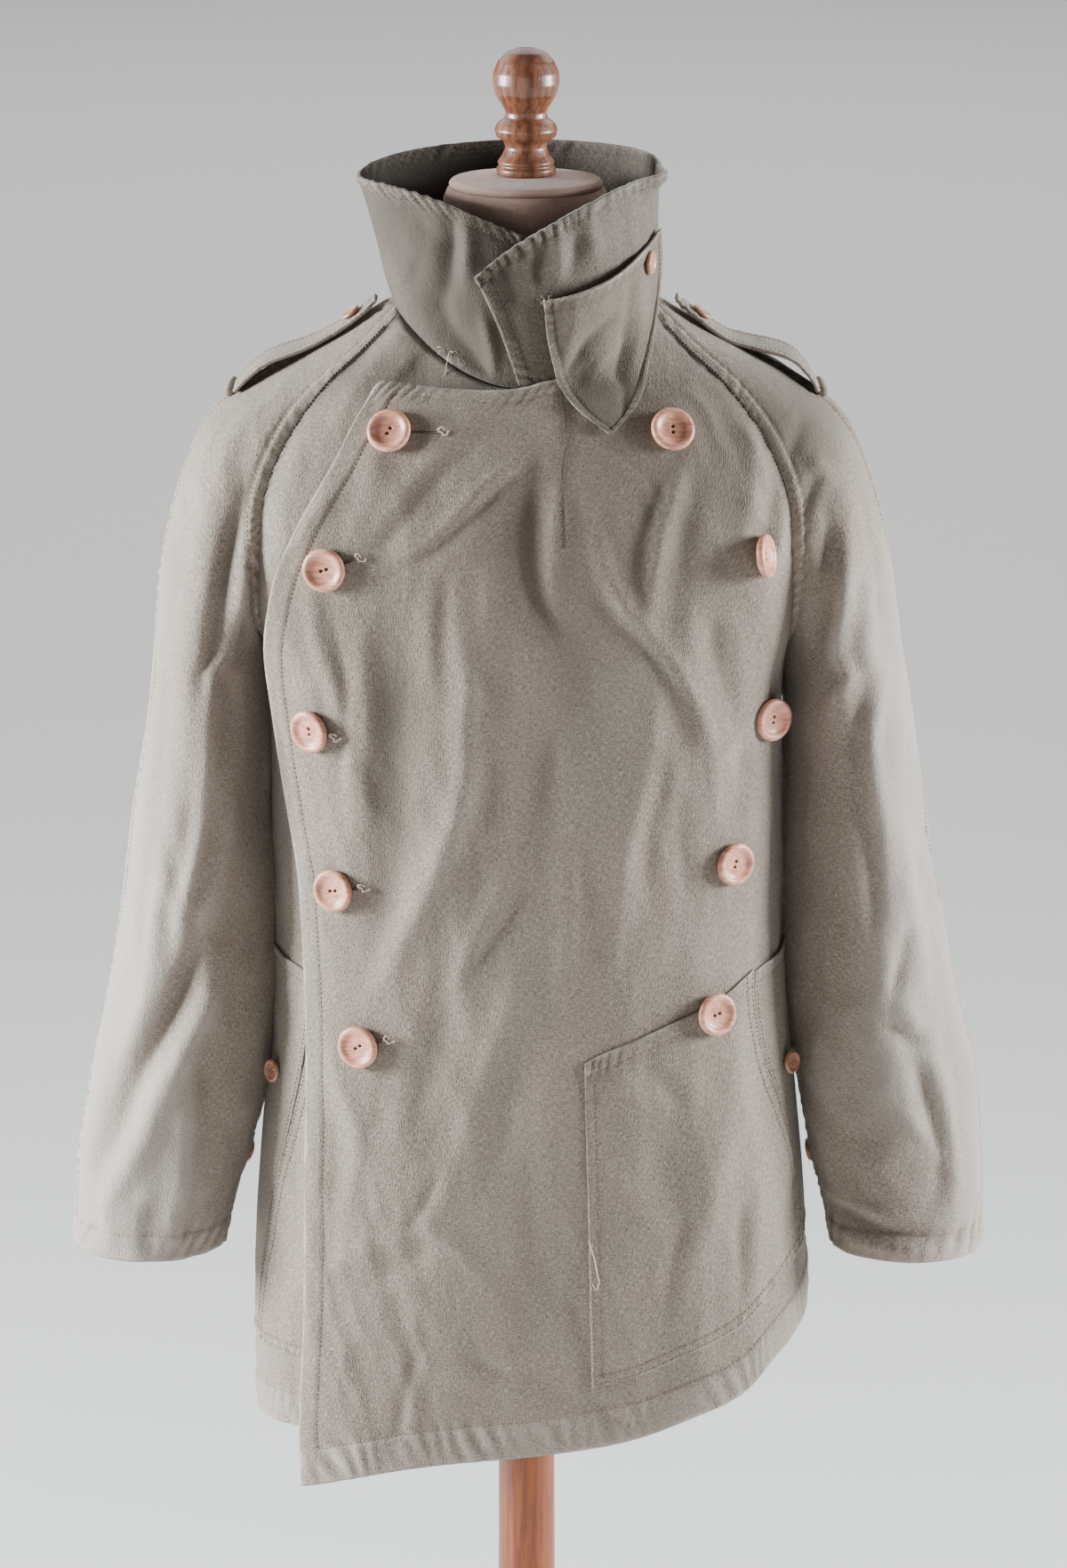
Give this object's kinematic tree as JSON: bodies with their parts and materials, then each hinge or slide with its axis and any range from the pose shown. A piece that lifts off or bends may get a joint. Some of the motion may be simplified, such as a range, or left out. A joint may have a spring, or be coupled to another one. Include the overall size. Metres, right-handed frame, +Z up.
{
  "type": "double-breasted canvas military jacket on a limbless dress form",
  "caption": "Hip-length double-breasted canvas jacket with raglan sleeves, standing collar, throat tab, shoulder straps and patch pockets, buttoned on a limbless dress form.",
  "frame": {"origin": "middle of the base's underside, on the floor under the pole", "axes": "+Z up along the pole, -Y the way the jacket's front faces, +X towards the wearer's left"},
  "size_m": [0.6412, 0.384, 1.632],
  "materials": {
    "canvas": "worn khaki cotton canvas",
    "button_wood": "pale turned wood, waxed",
    "linen": "plain linen cover",
    "turned_wood": "varnished turned wood"
  },
  "bodies": {
    "root": {"back": "canvas", "base": "turned_wood", "button_left_1": "button_wood", "button_left_2": "button_wood", "button_left_3": "button_wood", "button_left_4": "button_wood", "button_left_5": "button_wood", "button_right_1": "button_wood", "button_right_2": "button_wood", "button_right_3": "button_wood", "button_right_4": "button_wood", "button_right_5": "button_wood", "collar": "canvas", "finial": "turned_wood", "form_torso": "linen", "left_cuff_button": "button_wood", "left_cuff_tab": "canvas", "left_epaulette": "canvas", "left_epaulette_button": "button_wood", "left_epaulette_loop": "canvas", "left_front": "canvas", "left_patch_pocket": "canvas", "left_pocket_button": "button_wood", "left_pocket_side": "canvas", "left_sleeve_back": "canvas", "left_sleeve_front": "canvas", "neck_cap": "turned_wood", "pole": "turned_wood", "right_cuff_button": "button_wood", "right_cuff_tab": "canvas", "right_epaulette": "canvas", "right_epaulette_button": "button_wood", "right_epaulette_loop": "canvas", "right_front": "canvas", "right_patch_pocket": "canvas", "right_pocket_button": "button_wood", "right_pocket_side": "canvas", "right_sleeve_back": "canvas", "right_sleeve_front": "canvas", "throat_button": "button_wood", "throat_tab": "canvas"}
  },
  "joints": []
}
